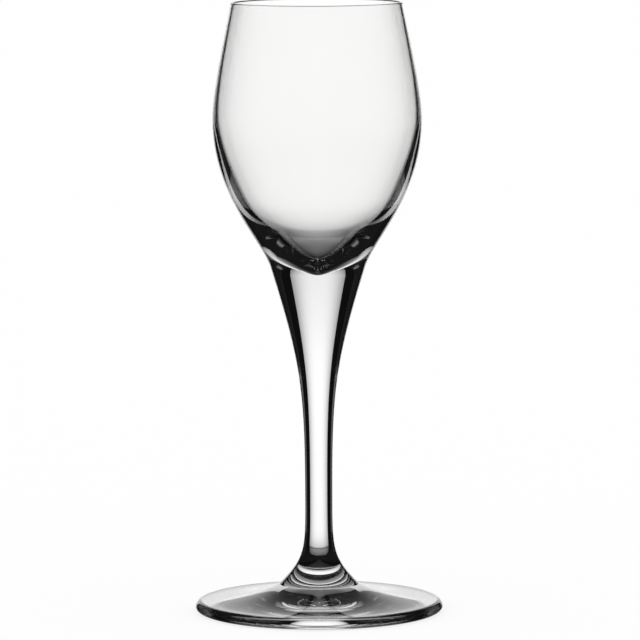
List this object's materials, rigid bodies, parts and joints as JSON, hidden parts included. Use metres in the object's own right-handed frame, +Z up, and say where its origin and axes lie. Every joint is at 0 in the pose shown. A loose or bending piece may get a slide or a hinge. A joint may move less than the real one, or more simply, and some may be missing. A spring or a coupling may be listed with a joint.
{
  "type": "liqueur glass",
  "caption": "Clear stemmed glass for liqueur: tulip bowl with a thick base, slender solid stem that flares at both ends, and a disc foot.",
  "frame": {"origin": "centre of the foot on the table plane", "axes": "+Z up along the axis of the glass, from the foot to the rim"},
  "size_m": [0.06, 0.06, 0.148],
  "materials": {
    "bowl": "clear, fire polished",
    "stem": "clear, fire polished",
    "foot": "clear, fire polished"
  },
  "bodies": {
    "root": {"bowl": "bowl", "stem": "stem", "foot": "foot"}
  },
  "joints": []
}
